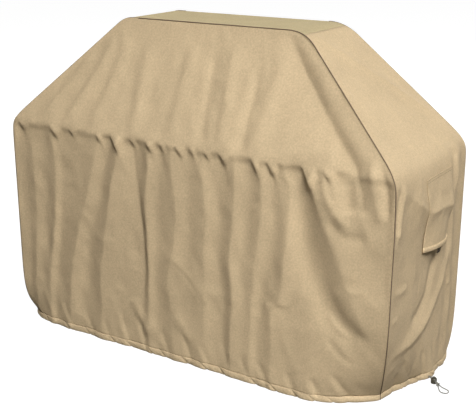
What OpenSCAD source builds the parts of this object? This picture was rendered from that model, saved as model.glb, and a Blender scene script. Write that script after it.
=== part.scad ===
// Fitted cloth cover for a long free-standing grill with a sloping hood.
// Origin: on the ground, under the middle of the cover. +X runs along the front, towards the drawcord
// lock, and -Y faces the front. Each cloth piece is a plain plate along the line that the cloth takes.

/* [Cover] */
// Length along the front, at the shoulders
cover_w = 1600; // [1400:10:1800]
// Depth from front to back, at the shoulders
cover_d = 600; // [540:10:700]
// Height of the flat top
cover_h = 1220; // [1120:10:1320]
// Height of the shoulders, where the walls end and the slopes start
shoulder_h = 825; // [800:5:900]
// Length of the flat top
top_w = 752; // [600:2:900]
// Depth of the flat top
top_d = 290; // [240:2:400]
// Distance from the middle of the cover back to the middle of the flat top
top_back = 30; // [0:1:60]
// Thickness of a cloth plate
cloth = 3; // [2:0.5:4]
// Diameter of the piping sewn into the front and back seams
piping_d = 5; // [4:0.5:7]

/* [Hem] */
// Height of the drawcord casing
hem_h = 25; // [24:1:35]
// Thickness of the drawcord casing
hem_t = 12; // [12:1:16]
// Width of the channel inside the casing
channel_w = 6; // [5:0.5:8]
// Height below which the gathered hem draws the walls in
gather_h = 420; // [300:10:500]

/* [Air vents] */
// Width of a vent hood
vent_w = 220; // [180:5:260]
// Height of a vent hood
vent_h = 250; // [200:5:260]
// Height of the seam that a vent hood hangs from
vent_top = 770; // [740:5:790]
// Distance from the middle of the cover back to the middle of a vent
vent_back = 25; // [0:5:60]
// Side of the square window behind a vent hood
window = 150; // [100:5:155]
// Height of the bound lip of a vent hood
lip_h = 24; // [16:1:30]
// Thickness of the bound lip
lip_t = 8; // [7:0.5:12]

/* [Drawcord] */
// Diameter of the drawcord
cord_d = 3.5; // [3:0.5:4]
// Height of the free cord above the ground, where it leaves the hem
cord_z = 12; // [12:0.5:13]
// Direction in which the free cord leaves the hem, in degrees from +X
tail_angle = -36; // [-50:1:-20]

/* [Cord lock] */
// Outer diameter of the lock's body
lock_d = 21; // [20:0.5:24]
// Height of the lock's body
lock_h = 19; // [18:0.5:21]
// Radius of the push button
button_r = 6.4; // [6:0.1:7]
// Travel of the push button
button_travel = 3; // [2:0.5:3]
// Distance from the hem to the middle of the lock
lock_at = 34; // [30:1:38]
// Distance from the hem to the middle of the knot
knot_at = 60; // [58:1:64]

/* [Hidden] */

khaki = [0.70, 0.62, 0.47];
olive_tan = [0.67, 0.62, 0.44];
brown = [0.36, 0.29, 0.22];
grey = [0.45, 0.45, 0.40];
dark = [0.12, 0.11, 0.10];

half_w = cover_w / 2;
half_d = cover_d / 2;
roof_h = cover_h - shoulder_h;

// Where the gathered hem lies, seen from above, as distances from the nearest corner of the shoulders.
// Each list runs anticlockwise and starts at a seam.
front_left = [[20, 50], [35, 34], [65, 19], [125, 3], [200, 0]];
front_right = [[-360, 0], [-290, 4], [-225, 26], [-170, 58], [-115, 102]];
right_front = [[-80, 142], [-66, 200], [-54, 250], [-30, 315], [0, 377]];
right_back = [[0, -150], [-3, -75], [-14, -20]];
back_right = [[-40, -3], [-110, 0]];
back_left = [[110, 0], [40, -3]];
left_back = [[14, -20], [3, -75], [0, -150]];
left_front = [[0, 330], [1, 240], [6, 130]];

function from_corner(points, x, y) = [for (p = points) [x + p[0], y + p[1]]];
hem_line = concat(
    from_corner(front_left, -half_w, -half_d), from_corner(front_right, half_w, -half_d),
    from_corner(right_front, half_w, -half_d), from_corner(right_back, half_w, half_d),
    from_corner(back_right, half_w, half_d), from_corner(back_left, -half_w, half_d),
    from_corner(left_back, -half_w, half_d), from_corner(left_front, -half_w, -half_d)
);
// Places of the seams in hem_line: front right, back right and back left. Front left is place 0.
seam_fr = len(front_left) + len(front_right);
seam_br = seam_fr + len(right_front) + len(right_back) - 1;
seam_bl = seam_br + 1 + len(back_right) + len(back_left);
hem_exit = seam_fr + len(right_front) - 1;
smoothing = 2;

function unit(v) = v / norm(v);
function pick(list, i) = list[(i + len(list)) % len(list)];
function heading(list, i) = unit(pick(list, i + 1) - pick(list, i - 1));
function blend(a, b, t) = a * (1 - t) + b * t;
// One point of the smooth curve between points i and i + 1 of a closed line
function curve(list, i, t) =
    let (a = pick(list, i), b = pick(list, i + 1), reach = norm(b - a))
    a * (2 * t ^ 3 - 3 * t ^ 2 + 1) + heading(list, i) * reach * (t ^ 3 - 2 * t ^ 2 + t)
    + b * (3 * t ^ 2 - 2 * t ^ 3) + heading(list, i + 1) * reach * (t ^ 3 - t ^ 2);
hem_round = [for (i = [0:len(hem_line) - 1], k = [0:smoothing - 1]) curve(hem_line, i, k / smoothing)];

// The stretch of the hem from one seam to the next, moved inwards
function inward(i, d) = pick(hem_round, i) + d * [-heading(hem_round, i)[1], heading(hem_round, i)[0]];
function hem_between(from, to, d) = [for (i = [from * smoothing:to * smoothing]) inward(i, d)];

// Share of its own length that a line has run at each of its points
function runs(line) = [for (i = 0, s = 0; i < len(line);
    s = s + norm(line[min(i + 1, len(line) - 1)] - line[i]), i = i + 1) s];
function shares(line) = [for (s = runs(line)) s / runs(line)[len(line) - 1]];

shoulder = [for (p = [[-1, -1], [1, -1], [1, 1], [-1, 1]]) [p[0] * half_w, p[1] * half_d]];
crown = [for (p = [[-1, -1], [1, -1], [1, 1], [-1, 1]]) [p[0] * top_w / 2, p[1] * top_d / 2 + top_back]];
wall_rows = [hem_h, 60, 110, 170, 240, 320, gather_h, 620, shoulder_h];
roof_rows = [0.5, 1];

// A wall and the slope above it, as rows of points going up. Side 0 is the front, 1 the right.
function wall_grid(side, from, to) =
    let (
        line = hem_between(from, to, 0), share = shares(line),
        eave = [for (t = share) blend(pick(shoulder, side), pick(shoulder, side + 1), t)],
        ridge = [for (t = share) blend(pick(crown, side), pick(crown, side + 1), t)]
    )
    concat(
        [for (z = wall_rows) let (pull = (max(0, gather_h - z) / (gather_h - hem_h)) ^ 2)
            [for (j = [0:len(line) - 1]) let (p = blend(eave[j], line[j], pull)) [p[0], p[1], z]]],
        [for (r = roof_rows)
            [for (j = [0:len(line) - 1]) let (p = blend(eave[j], ridge[j], r))
                [p[0], p[1], shoulder_h + r * roof_h]]]
    );

function last(list) = list[len(list) - 1];
function split(q) = [[q[0], q[1], q[2]], [q[0], q[2], q[3]]];

// Share of the thickness by which a mitred edge's inner side is drawn back
mitre_reach = 1.4;

// A plate under a grid of points, with mitred edges. Seen from outside, rows go up and columns go right.
module sheet(grid, thick, mitred_foot = false) {
    rows = len(grid);
    cols = len(grid[0]);
    function at(i, j) = grid[max(0, min(rows - 1, i))][max(0, min(cols - 1, j))];
    function outward(i, j) = unit(cross(at(i, j + 1) - at(i, j - 1), at(i + 1, j) - at(i - 1, j)));
    function mitre(i, j) =
        (j == 0 ? unit(at(i, 1) - at(i, 0)) : j == cols - 1 ? unit(at(i, j - 1) - at(i, j)) : [0, 0, 0])
        + (i == rows - 1 ? unit(at(i - 1, j) - at(i, j)) : i == 0 && mitred_foot
            ? unit(at(1, j) - at(0, j)) : [0, 0, 0]);
    // A foot that isn't mitred stays level, to stand on the casing below it
    function inner(i, j) = let (p = at(i, j) + thick * (mitre_reach * mitre(i, j) - outward(i, j)))
        i == 0 && !mitred_foot ? [p[0], p[1], at(i, j)[2]] : p;
    function k(i, j, side) = (side * rows + i) * cols + j;
    points = concat(
        [for (i = [0:rows - 1], j = [0:cols - 1]) at(i, j)],
        [for (i = [0:rows - 1], j = [0:cols - 1]) inner(i, j)]
    );
    skins = [for (i = [0:rows - 2], j = [0:cols - 2]) each [
        [k(i, j, 0), k(i + 1, j, 0), k(i + 1, j + 1, 0), k(i, j + 1, 0)],
        [k(i, j, 1), k(i, j + 1, 1), k(i + 1, j + 1, 1), k(i + 1, j, 1)]
    ]];
    ends = [for (i = [0:rows - 2]) each [
        [k(i + 1, 0, 0), k(i, 0, 0), k(i, 0, 1), k(i + 1, 0, 1)],
        [k(i, cols - 1, 0), k(i + 1, cols - 1, 0), k(i + 1, cols - 1, 1), k(i, cols - 1, 1)]
    ]];
    edges = [for (j = [0:cols - 2]) each [
        [k(0, j, 0), k(0, j + 1, 0), k(0, j + 1, 1), k(0, j, 1)],
        [k(rows - 1, j + 1, 0), k(rows - 1, j, 0), k(rows - 1, j, 1), k(rows - 1, j + 1, 1)]
    ]];
    polyhedron(points, [for (q = concat(skins, ends, edges)) each split(q)], convexity = 6);
}

// A round bar swept along a path that is never parallel to side_dir
module bar(path, d, side_dir, sides = 8) {
    n = len(path);
    function way(i) = unit(path[min(i + 1, n - 1)] - path[max(i - 1, 0)]);
    function ring(i) = let (u = unit(cross(side_dir, way(i))), v = cross(way(i), u))
        [for (a = [0:sides - 1]) path[i] + d / 2 * (cos(360 * a / sides) * u + sin(360 * a / sides) * v)];
    skin = [for (i = [0:n - 2], a = [0:sides - 1]) let (b = (a + 1) % sides)
        each split([i * sides + a, (i + 1) * sides + a, (i + 1) * sides + b, i * sides + b])];
    caps = [[for (a = [0:sides - 1]) a], [for (a = [0:sides - 1]) n * sides - 1 - a]];
    polyhedron([for (i = [0:n - 1]) each ring(i)], concat(skin, caps), convexity = 8);
}

module wall(side, from, to) {
    sheet(wall_grid(side, from, to), cloth);
}

module front_panel() {
    color(khaki) wall(0, 0, seam_fr);
}

module back_panel() {
    color(khaki) wall(2, seam_br, seam_bl);
}

module top_panel() {
    rows = [for (i = [0:1]) [for (j = [0:1])
        [for (p = [i == 0 ? crown[j] : crown[3 - j]]) each [p[0], p[1], cover_h]]]];
    color(olive_tan) sheet(rows, cloth, mitred_foot = true);
}

// The square hole in a side wall behind its vent hood, sign 1 on the right and -1 on the left
module vent_window(sign) {
    translate([sign * half_w, vent_back, vent_top - vent_h / 2])
        cube([8 * cloth, window, window], center = true);
}

module right_side_panel() {
    color(khaki) difference() {
        wall(1, seam_fr, seam_br);
        vent_window(1);
    }
}

module left_side_panel() {
    color(khaki) difference() {
        wall(3, seam_bl, len(hem_line));
        vent_window(-1);
    }
}

module hem_ring(from, to, outside, inside, height) {
    outer = hem_between(from, to, outside);
    inner = hem_between(from, to, inside);
    linear_extrude(height) polygon(concat(outer, [for (i = [len(inner) - 1:-1:0]) inner[i]]));
}

channel_in = (hem_t - channel_w) / 2;
channel_low = cord_z - 4.5;
channel_high = cord_z + 4.5;

// A folded casing with the drawcord channel inside
module casing(from, to) {
    difference() {
        hem_ring(from, to, 0, hem_t, hem_h);
        translate([0, 0, channel_low])
            hem_ring(from, to, channel_in, channel_in + channel_w, channel_high - channel_low);
    }
}

module front_hem() {
    color(khaki) casing(0, seam_fr);
}

module back_hem() {
    color(khaki) casing(seam_br, seam_bl);
}

module left_hem() {
    color(khaki) casing(seam_bl, len(hem_line));
}

// Moves its children from the tail's own frame, in which the free cord runs along +X from the hem
module at_exit() {
    translate([hem_line[hem_exit][0], hem_line[hem_exit][1], 0]) rotate(tail_angle) children();
}

strand_gap = cord_d / 2 + 0.25;
slot_w = 2 * strand_gap + cord_d + 1.2;
slot_h = cord_d + 2;

module right_hem() {
    color(khaki) difference() {
        casing(seam_fr, seam_br);
        at_exit() translate([-5, -slot_w / 2, cord_z - slot_h / 2]) cube([12, slot_w, slot_h]);
    }
}

// A piping seam from the ground up one corner, along the top edge and down the other corner
function corner_line(grid, j) = [for (row = grid) row[j]];
module piping(side, from, to) {
    grid = wall_grid(side, from, to);
    left = corner_line(grid, 0);
    right = corner_line(grid, len(grid[0]) - 1);
    function foot(line) = [line[0][0], line[0][1], 1];
    path = concat([foot(left)], left, [for (i = [len(right) - 1:-1:0]) right[i]], [foot(right)]);
    color(brown) bar(path, piping_d, [0, 1, 0]);
}

module front_piping() {
    piping(0, 0, seam_fr);
}

module back_piping() {
    piping(2, seam_br, seam_bl);
}

hood_gap = 0.4;
hood_x = half_w + hood_gap;
hood_t = 3;
lip_x = hood_x + hood_t;
vent_foot = vent_top - vent_h;
tab_w = 26;
tab_h = 30;
tab_t = 1.2;

// A block on a side of the cover, from x to x + thick outwards, centred on the vent's middle
module vent_block(sign, x, thick, wide, low, high) {
    x_low = sign > 0 ? x : -x - thick;
    translate([x_low, vent_back - wide / 2, low]) cube([thick, wide, high - low]);
}

// The screen covers the window from inside, past its edges
module vent_mesh(sign) {
    mesh_t = 2;
    size = window + 30;
    middle = vent_top - vent_h / 2;
    color(dark) vent_block(sign, half_w - cloth - mesh_t, mesh_t, size, middle - size / 2, middle + size / 2);
}

// The hood has a shallow pocket behind its foot, which takes the tab and the patch
module vent_hood(sign) {
    pocket_t = hood_t - 1;
    color(khaki) difference() {
        vent_block(sign, hood_x, hood_t, vent_w, vent_foot, vent_top);
        vent_block(sign, hood_x - 1, pocket_t + 1, tab_w + 8, vent_foot - 1, vent_foot + tab_h + 4);
    }
}

stay_d = 3;
stay_z = vent_foot + lip_h / 2;
stay_x = lip_x + lip_t / 2;

// The lip is a bound tube of cloth along the foot of the hood, with the stay inside
module vent_lip(sign) {
    color(khaki) difference() {
        vent_block(sign, lip_x, lip_t, vent_w, vent_foot, vent_foot + lip_h);
        vent_block(sign, stay_x - stay_d / 2 - 0.2, stay_d + 0.4, vent_w - 8,
            stay_z - stay_d / 2 - 0.2, stay_z + stay_d / 2 + 0.2);
    }
}

module vent_stay(sign) {
    length = vent_w - 10;
    color(dark) translate([sign * stay_x, vent_back + length / 2, stay_z])
        rotate([90, 0, 0]) cylinder(h = length, d = stay_d, $fn = 32);
}

// The tab is sewn to the back of the hood's foot, and grips the patch on the side panel
module vent_tab(sign) {
    color(dark) vent_block(sign, hood_x + 0.8, tab_t, tab_w, vent_foot, vent_foot + tab_h);
}

module vent_patch(sign) {
    color(dark) vent_block(sign, half_w, 0.9, tab_w, vent_foot, vent_foot + tab_h);
}

// The drawcord fills the channel all the way round, and both ends come to the exit
module hem_drawcord() {
    middle = hem_t / 2;
    steps = len(hem_round);
    start = hem_exit * smoothing;
    out = inward(start, middle);
    side = heading(hem_round, start);
    ring = [for (i = [1:steps - 1]) inward(start + i, middle)];
    path = [for (p = concat([out + side * 3], ring, [out - side * 3])) [p[0], p[1], cord_z]];
    color(grey) bar(path, cord_d, [0, 0, 1]);
}

// One strand of the free cord from the hem to the far end of the loop, in the tail's own frame:
// distance out, distance sideways, height
ground = cord_d / 2 + 0.1;
tail_out = [
    [-4, 2, 12], [4, 2, 12], [14, 2, 12], [24, 2, 12], [34, 2, 12], [44, 2, 12], [52, 2, 11], [60, 3, 9],
    [67, 4, 6], [73, 6, 3.5], [80, 9, 2.1], [88, 12, ground], [96, 14.5, ground], [104, 14.5, ground],
    [111, 11, ground], [115.5, 5.5, ground]
];
tip = [117, 0, ground];

module cord_tail() {
    back = [for (i = [len(tail_out) - 1:-1:0]) [tail_out[i][0], -tail_out[i][1], tail_out[i][2]]];
    color(grey) at_exit() bar(concat(tail_out, [tip], back), cord_d, [0, 0, 1]);
}

// An overhand knot in both strands: three turns of cord that have been pulled tight
module cord_knot() {
    turn_d = 2.6 * cord_d;
    color(grey) at_exit() translate([knot_at, 0, 0]) {
        translate([0, 0, turn_d * 0.85]) sphere(d = 1.6 * turn_d, $fn = 32);
        for (s = [-1, 1])
            translate([s * 3, s * 4, turn_d * 0.75]) sphere(d = 1.15 * turn_d, $fn = 32);
    }
}

bore_r = button_r + 0.1;
bore_low = 1.5;
spring_h = 5.5;
button_low = bore_low + spring_h;
button_high = lock_h + 4.5;
slot_clear = 0.4;
strands_w = 2 * strand_gap + cord_d + 2 * slot_clear;

module at_lock() {
    at_exit() translate([lock_at, 0, 0]) children();
}

// A box across the lock for the two strands
module strand_slot(low, high) {
    translate([-lock_d, -strands_w / 2, low]) cube([2 * lock_d, strands_w, high - low]);
}

module cord_lock_body() {
    rim = 2.5;
    r = lock_d / 2;
    profile = concat(
        [[0, 0]], [for (a = [-90:15:0]) [r - rim + rim * cos(a), rim + rim * sin(a)]],
        [for (a = [0:15:90]) [r - rim + rim * cos(a), lock_h - rim + rim * sin(a)]], [[0, lock_h]]
    );
    color(grey) at_lock() difference() {
        rotate_extrude($fn = 64) polygon(profile);
        translate([0, 0, bore_low]) cylinder(h = lock_h, r = bore_r, $fn = 64);
        strand_slot(cord_z - cord_d / 2 - 1.2, cord_z + cord_d / 2 + slot_clear);
    }
}

// The slot leaves the strands room at both ends of the button's travel
module cord_lock_button() {
    color(grey) at_lock() difference() {
        union() {
            translate([0, 0, button_low]) cylinder(h = button_high - button_low - 1, r = button_r, $fn = 64);
            translate([0, 0, button_high - 1]) cylinder(h = 1, r1 = button_r, r2 = button_r - 1, $fn = 64);
        }
        strand_slot(cord_z - cord_d / 2 - slot_clear, cord_z + cord_d / 2 + slot_clear + button_travel);
    }
}

module cord_lock_spring() {
    wire = 0.8;
    turns = 3;
    steps = 12;
    coil_r = button_r - 1.6;
    rise = spring_h - wire - 0.1;
    path = [for (i = [0:turns * steps])
        [coil_r * cos(360 * i / steps), coil_r * sin(360 * i / steps),
            bore_low + wire / 2 + 0.05 + rise * i / (turns * steps)]];
    color("silver") at_lock() bar(path, wire, [0, 0, 1], sides = 6);
}

front_panel();
back_panel();
top_panel();
right_side_panel();
left_side_panel();
front_hem();
right_hem();
back_hem();
left_hem();
front_piping();
back_piping();
vent_mesh(1);  // right_vent_mesh
vent_hood(1);  // right_vent_hood
vent_lip(1);  // right_vent_lip
vent_stay(1);  // right_vent_stay
vent_tab(1);  // right_vent_tab
vent_patch(1);  // right_vent_patch
vent_mesh(-1);  // left_vent_mesh
vent_hood(-1);  // left_vent_hood
vent_lip(-1);  // left_vent_lip
vent_stay(-1);  // left_vent_stay
vent_tab(-1);  // left_vent_tab
vent_patch(-1);  // left_vent_patch
hem_drawcord();
cord_tail();
cord_knot();
cord_lock_body();
cord_lock_button();
cord_lock_spring();
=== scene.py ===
import math

import bpy
import numpy as np
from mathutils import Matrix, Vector


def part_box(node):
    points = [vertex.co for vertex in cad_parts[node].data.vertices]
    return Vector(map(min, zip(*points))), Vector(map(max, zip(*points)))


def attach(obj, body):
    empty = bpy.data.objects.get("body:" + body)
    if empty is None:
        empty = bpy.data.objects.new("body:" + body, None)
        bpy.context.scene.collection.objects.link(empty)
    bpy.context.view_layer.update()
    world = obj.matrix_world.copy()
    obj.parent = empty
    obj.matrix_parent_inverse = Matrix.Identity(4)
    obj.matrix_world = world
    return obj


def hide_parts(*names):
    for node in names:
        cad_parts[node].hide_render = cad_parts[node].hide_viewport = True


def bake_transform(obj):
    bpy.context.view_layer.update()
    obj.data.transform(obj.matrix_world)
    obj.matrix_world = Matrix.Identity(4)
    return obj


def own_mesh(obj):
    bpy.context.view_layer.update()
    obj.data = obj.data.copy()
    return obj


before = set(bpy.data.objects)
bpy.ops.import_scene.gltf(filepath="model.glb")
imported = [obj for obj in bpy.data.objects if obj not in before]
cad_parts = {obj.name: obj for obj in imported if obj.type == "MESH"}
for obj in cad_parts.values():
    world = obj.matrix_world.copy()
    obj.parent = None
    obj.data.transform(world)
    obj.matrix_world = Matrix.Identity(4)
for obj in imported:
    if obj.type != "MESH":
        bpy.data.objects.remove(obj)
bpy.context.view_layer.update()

# A fitted cloth cover for a long grill. The cloth is one welded grid of points, shaped by its profile, its
# gathered hem and its folds, and is then cut into panels. Everything sewn to it takes its place from it.
# Lengths are in metres.

# -------- camera
camera_data = bpy.data.cameras.new("camera")
camera_data.lens = 72.418
camera_data.sensor_width = 36.0
camera = bpy.data.objects.new("camera", camera_data)
camera.location = (1.8932, -2.8705, 1.6161)
camera.rotation_euler = (math.radians(72.406), 0.0, math.radians(32.827))
bpy.context.scene.collection.objects.link(camera)
bpy.context.scene.camera = camera

# -------- sizes
front_low, front_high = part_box("front_panel")
top_low, top_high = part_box("top_panel")
HALF_W = front_high.x
HALF_D = -front_low.y
HEM_TOP = front_low.z
CROWN_Z = front_high.z
TOP_HALF_W = top_high.x
TOP_FRONT = top_low.y
TOP_BACK = top_high.y
SHOULDER_Z = 0.825
ROOF_H = CROWN_Z - SHOULDER_Z
# Height below which the gathered hem draws the walls in
GATHER_Z = 0.42
# Height of the cloth's edge inside the hem casing
CLOTH_FOOT = 0.021
CLOTH_T = 0.0008
# Where the gathered hem lies on the ground, anticlockwise from the front left seam
HEM_LINE = [
    (-0.78, -0.25), (-0.765, -0.266), (-0.735, -0.281), (-0.675, -0.297), (-0.6, -0.3),
    (0.44, -0.3), (0.51, -0.296), (0.575, -0.274), (0.63, -0.242), (0.685, -0.198),
    (0.72, -0.158), (0.734, -0.1), (0.746, -0.05), (0.77, 0.015), (0.8, 0.077),
    (0.8, 0.15), (0.797, 0.225), (0.786, 0.28), (0.76, 0.297), (0.69, 0.3),
    (-0.69, 0.3), (-0.76, 0.297), (-0.786, 0.28), (-0.797, 0.225), (-0.8, 0.15),
    (-0.8, 0.03), (-0.799, -0.06), (-0.794, -0.17),
]
# Places of the four seams in HEM_LINE: front left, front right, back right, back left, front left again
SEAMS = [0, 10, 17, 22, 28]
# Where the free cord leaves the hem
EXIT = HEM_LINE[14]
EXIT_Z = 0.012
# The sides by number, anticlockwise, and the number of squares across each one's grid
SIDES = ["front", "right", "back", "left"]
COLUMNS = {"front": 240, "right": 90, "back": 240, "left": 90}

# The vents: each hood's place, and the window behind it
VENT_Y = 0.025
VENT_HALF_W = 0.11
VENT_TOP = 0.77
VENT_FOOT = 0.52
WINDOW_HALF = 0.075
WINDOW_LOW = 0.57
WINDOW_HIGH = 0.72


def smoothstep(x):
    x = np.clip(x, 0.0, 1.0)
    return x * x * (3.0 - 2.0 * x)


def unit(v):
    return v / np.maximum(np.linalg.norm(v, axis=-1, keepdims=True), 1e-12)


def spline(points, steps, closed=False):
    """A smooth curve through the points: cubic Hermite pieces with the heading of their neighbours."""
    p = np.array(points, float)
    n = len(p)
    if closed:
        before, after = np.roll(p, 1, axis=0), np.roll(p, -1, axis=0)
    else:
        before, after = np.vstack([p[:1], p[:-1]]), np.vstack([p[1:], p[-1:]])
    heading = unit(after - before)
    out = []
    for i in range(n if closed else n - 1):
        a, b = p[i], p[(i + 1) % n]
        reach = np.linalg.norm(b - a)
        for t in np.arange(steps) / steps:
            out.append(a * (2 * t**3 - 3 * t**2 + 1) + heading[i] * reach * (t**3 - 2 * t**2 + t)
                       + b * (3 * t**2 - 2 * t**3) + heading[(i + 1) % n] * reach * (t**3 - t**2))
    if not closed:
        out.append(p[-1])
    return np.array(out)


# -------- materials
class Shading:
    """A new material's nodes, with short ways to add and join them."""

    def __init__(self, name, colour, roughness, **settings):
        self.material = bpy.data.materials.new(name)
        self.material.use_nodes = True
        self.material.diffuse_color = (*colour, 1.0)
        self.nodes = self.material.node_tree.nodes
        self.links = self.material.node_tree.links
        self.shader = self.nodes["Principled BSDF"]
        self.shader.inputs["Base Color"].default_value = (*colour, 1.0)
        self.shader.inputs["Roughness"].default_value = roughness
        for key, value in settings.items():
            self.shader.inputs[key.replace("_", " ")].default_value = value

    def join(self, source, target):
        if isinstance(source, (int, float)):
            target.default_value = source
        else:
            self.links.new(source, target)

    def maths(self, operation, a, b=0.0):
        node = self.nodes.new("ShaderNodeMath")
        node.operation = operation
        self.join(a, node.inputs[0])
        self.join(b, node.inputs[1])
        return node.outputs[0]

    def noise(self, coordinates, scale, detail=2.0, stretch=(1.0, 1.0, 1.0)):
        mapping = self.nodes.new("ShaderNodeMapping")
        mapping.inputs["Scale"].default_value = stretch
        self.links.new(coordinates, mapping.inputs["Vector"])
        node = self.nodes.new("ShaderNodeTexNoise")
        node.inputs["Scale"].default_value = scale
        node.inputs["Detail"].default_value = detail
        self.links.new(mapping.outputs["Vector"], node.inputs["Vector"])
        return node.outputs["Fac"]

    def place(self, kind):
        return self.nodes.new("ShaderNodeTexCoord").outputs[kind]

    def between(self, factor, low, high):
        """A colour that goes from low to high as the factor goes from 0.3 to 0.7."""
        ramp = self.nodes.new("ShaderNodeValToRGB")
        ramp.color_ramp.elements[0].position = 0.3
        ramp.color_ramp.elements[0].color = (*low, 1.0)
        ramp.color_ramp.elements[1].position = 0.7
        ramp.color_ramp.elements[1].color = (*high, 1.0)
        self.join(factor, ramp.inputs["Fac"])
        return ramp.outputs["Color"]

    def paint(self, factor, low, high):
        self.links.new(self.between(factor, low, high), self.shader.inputs["Base Color"])

    def bump(self, height, distance, strength=1.0):
        node = self.nodes.new("ShaderNodeBump")
        node.inputs["Distance"].default_value = distance
        node.inputs["Strength"].default_value = strength
        self.join(height, node.inputs["Height"])
        self.links.new(node.outputs["Normal"], self.shader.inputs["Normal"])


def shade(colour, factor):
    return tuple(min(1.0, c * factor) for c in colour)


def woven(name, colour, pitch, depth, roughness=0.62, variation=0.15, sheen=0.03):
    """Plain-woven cloth. Its UV map is in metres along the threads."""
    s = Shading(name, colour, roughness, Specular_IOR_Level=0.2, Sheen_Weight=sheen, Sheen_Roughness=0.5)
    uv = s.nodes.new("ShaderNodeUVMap")
    split = s.nodes.new("ShaderNodeSeparateXYZ")
    s.links.new(uv.outputs["UV"], split.inputs["Vector"])
    threads = [s.maths("SINE", s.maths("MULTIPLY", split.outputs[axis], math.pi / pitch)) for axis in (0, 1)]
    crossing = s.maths("MULTIPLY", threads[0], threads[1])
    where = s.place("Object")
    slubs = s.noise(where, 170.0, 4.0)
    patches = s.noise(where, 9.0, 4.0)
    tone = s.maths("ADD", s.maths("MULTIPLY", slubs, 0.7), s.maths("MULTIPLY", patches, 0.3))
    tone = s.maths("ADD", tone, s.maths("MULTIPLY", crossing, 0.06))
    s.paint(tone, shade(colour, 1.0 - variation), shade(colour, 1.0 + variation))
    s.bump(s.maths("ADD", crossing, s.maths("MULTIPLY", slubs, 1.2)), depth, 0.6)
    return s.material


def moulded(name, colour, roughness):
    s = Shading(name, colour, roughness, Specular_IOR_Level=0.5)
    grain = s.noise(s.place("Object"), 900.0, 3.0)
    s.paint(grain, shade(colour, 0.88), shade(colour, 1.12))
    s.bump(grain, 0.00006, 0.5)
    return s.material


def braided(name, colour, pitch):
    """Cord: strands that cross on the slant."""
    s = Shading(name, colour, 0.7, Sheen_Weight=0.2)
    split = s.nodes.new("ShaderNodeSeparateXYZ")
    s.links.new(s.place("Object"), split.inputs["Vector"])
    rising = s.maths("ADD", split.outputs[0], split.outputs[2])
    falling = s.maths("SUBTRACT", split.outputs[1], split.outputs[2])
    turns = 2.0 * math.pi / pitch
    waves = [s.maths("SINE", s.maths("MULTIPLY", slant, turns)) for slant in (rising, falling)]
    strands = s.maths("ADD", s.maths("MULTIPLY", s.maths("MULTIPLY", *waves), 0.5), 0.5)
    s.paint(strands, shade(colour, 0.75), shade(colour, 1.15))
    s.bump(strands, 0.0002, 0.8)
    return s.material


CLOTH_COLOUR = (0.58, 0.445, 0.273)
THREAD_PITCH = 0.0009
THREAD_DEPTH = 0.00022
cloth = woven("cloth", CLOTH_COLOUR, THREAD_PITCH, THREAD_DEPTH)
# The top panel is the same cloth painted darker: painted shade on the top, set to offset how brightly the
# lamps light it.
top_cloth = woven("top_cloth", (0.5, 0.41, 0.238), THREAD_PITCH, THREAD_DEPTH)
# The hem casing and the lip binding are the same cloth painted 2% lighter: painted light on these bands.
hem_cloth = woven("hem_cloth", shade(CLOTH_COLOUR, 1.02), THREAD_PITCH, THREAD_DEPTH)
piping_cloth = woven("piping_cloth", (0.2, 0.14, 0.092), 0.0007, 0.00018)
tape = woven("hook_tape", (0.06, 0.045, 0.03), 0.0011, 0.0005, roughness=0.85, variation=0.25)
screen = moulded("screen_thread", (0.035, 0.033, 0.028), 0.55)
thread = moulded("stitching_thread", (0.52, 0.4, 0.245), 0.6)
# The hood's top rows are real stitches, but their thread is painted dark and thick: painted shade of the
# puckers along that seam.
thread_painted_dark_as_shade = moulded("stitching_thread_painted_dark_as_shade", (0.15, 0.105, 0.062), 0.6)
dark_plastic = moulded("stay_plastic", (0.02, 0.02, 0.019), 0.4)
lock_plastic = moulded("lock_plastic", (0.075, 0.07, 0.052), 0.38)
button_plastic = moulded("button_plastic", (0.055, 0.052, 0.04), 0.42)
cord_braid = braided("cord_braid", (0.19, 0.185, 0.155), 0.0012)
spring_steel = moulded("spring_steel", (0.55, 0.55, 0.54), 0.3)
spring_steel.node_tree.nodes["Principled BSDF"].inputs["Metallic"].default_value = 1.0


# -------- meshes
def grid_faces(rows, columns, keep=None):
    """Quads between the points of a grid, seen from outside with rows going up and columns going right."""
    return [(r * columns + c, r * columns + c + 1, (r + 1) * columns + c + 1, (r + 1) * columns + c)
            for r in range(rows - 1) for c in range(columns - 1) if keep is None or keep[r, c]]


def piece(name, points, faces, material, body, uv=None):
    """A smooth mesh that rides on a body. A piece that is blended across a joint has no body."""
    data = bpy.data.meshes.new(name)
    data.from_pydata(np.asarray(points, float).reshape(-1, 3).tolist(), [], faces)
    data.materials.append(material)
    data.polygons.foreach_set("use_smooth", [True] * len(data.polygons))
    if uv is not None:
        layer = data.uv_layers.new(name="threads")
        corner = np.zeros(len(data.loops), int)
        data.loops.foreach_get("vertex_index", corner)
        layer.data.foreach_set("uv", np.asarray(uv, float).reshape(-1, 2)[corner].ravel())
    data.validate()
    made = bpy.data.objects.new(name, data)
    bpy.context.scene.collection.objects.link(made)
    if body:
        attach(made, body)
    return made


def apply_modifiers(obj):
    graph = bpy.context.evaluated_depsgraph_get()
    graph.update()
    made = bpy.data.meshes.new_from_object(obj.evaluated_get(graph))
    obj.modifiers.clear()
    old = obj.data
    obj.data = made
    bpy.data.meshes.remove(old)


def thicken(obj, thickness, offset=-1.0):
    modifier = obj.modifiers.new("thickness", "SOLIDIFY")
    modifier.thickness = thickness
    modifier.offset = offset
    modifier.use_even_offset = True
    apply_modifiers(obj)


def grid_uv(points):
    """UV in metres: along the rows, and up the columns."""
    across = np.linalg.norm(np.diff(points, axis=1), axis=2)
    up = np.linalg.norm(np.diff(points, axis=0), axis=2)
    u = np.concatenate([np.zeros((points.shape[0], 1)), np.cumsum(across, axis=1)], axis=1)
    u -= u[:, -1:] / 2
    v = np.concatenate([np.zeros((1, points.shape[1])), np.cumsum(up, axis=0)], axis=0)
    return np.stack([u, v], axis=-1)


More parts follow.
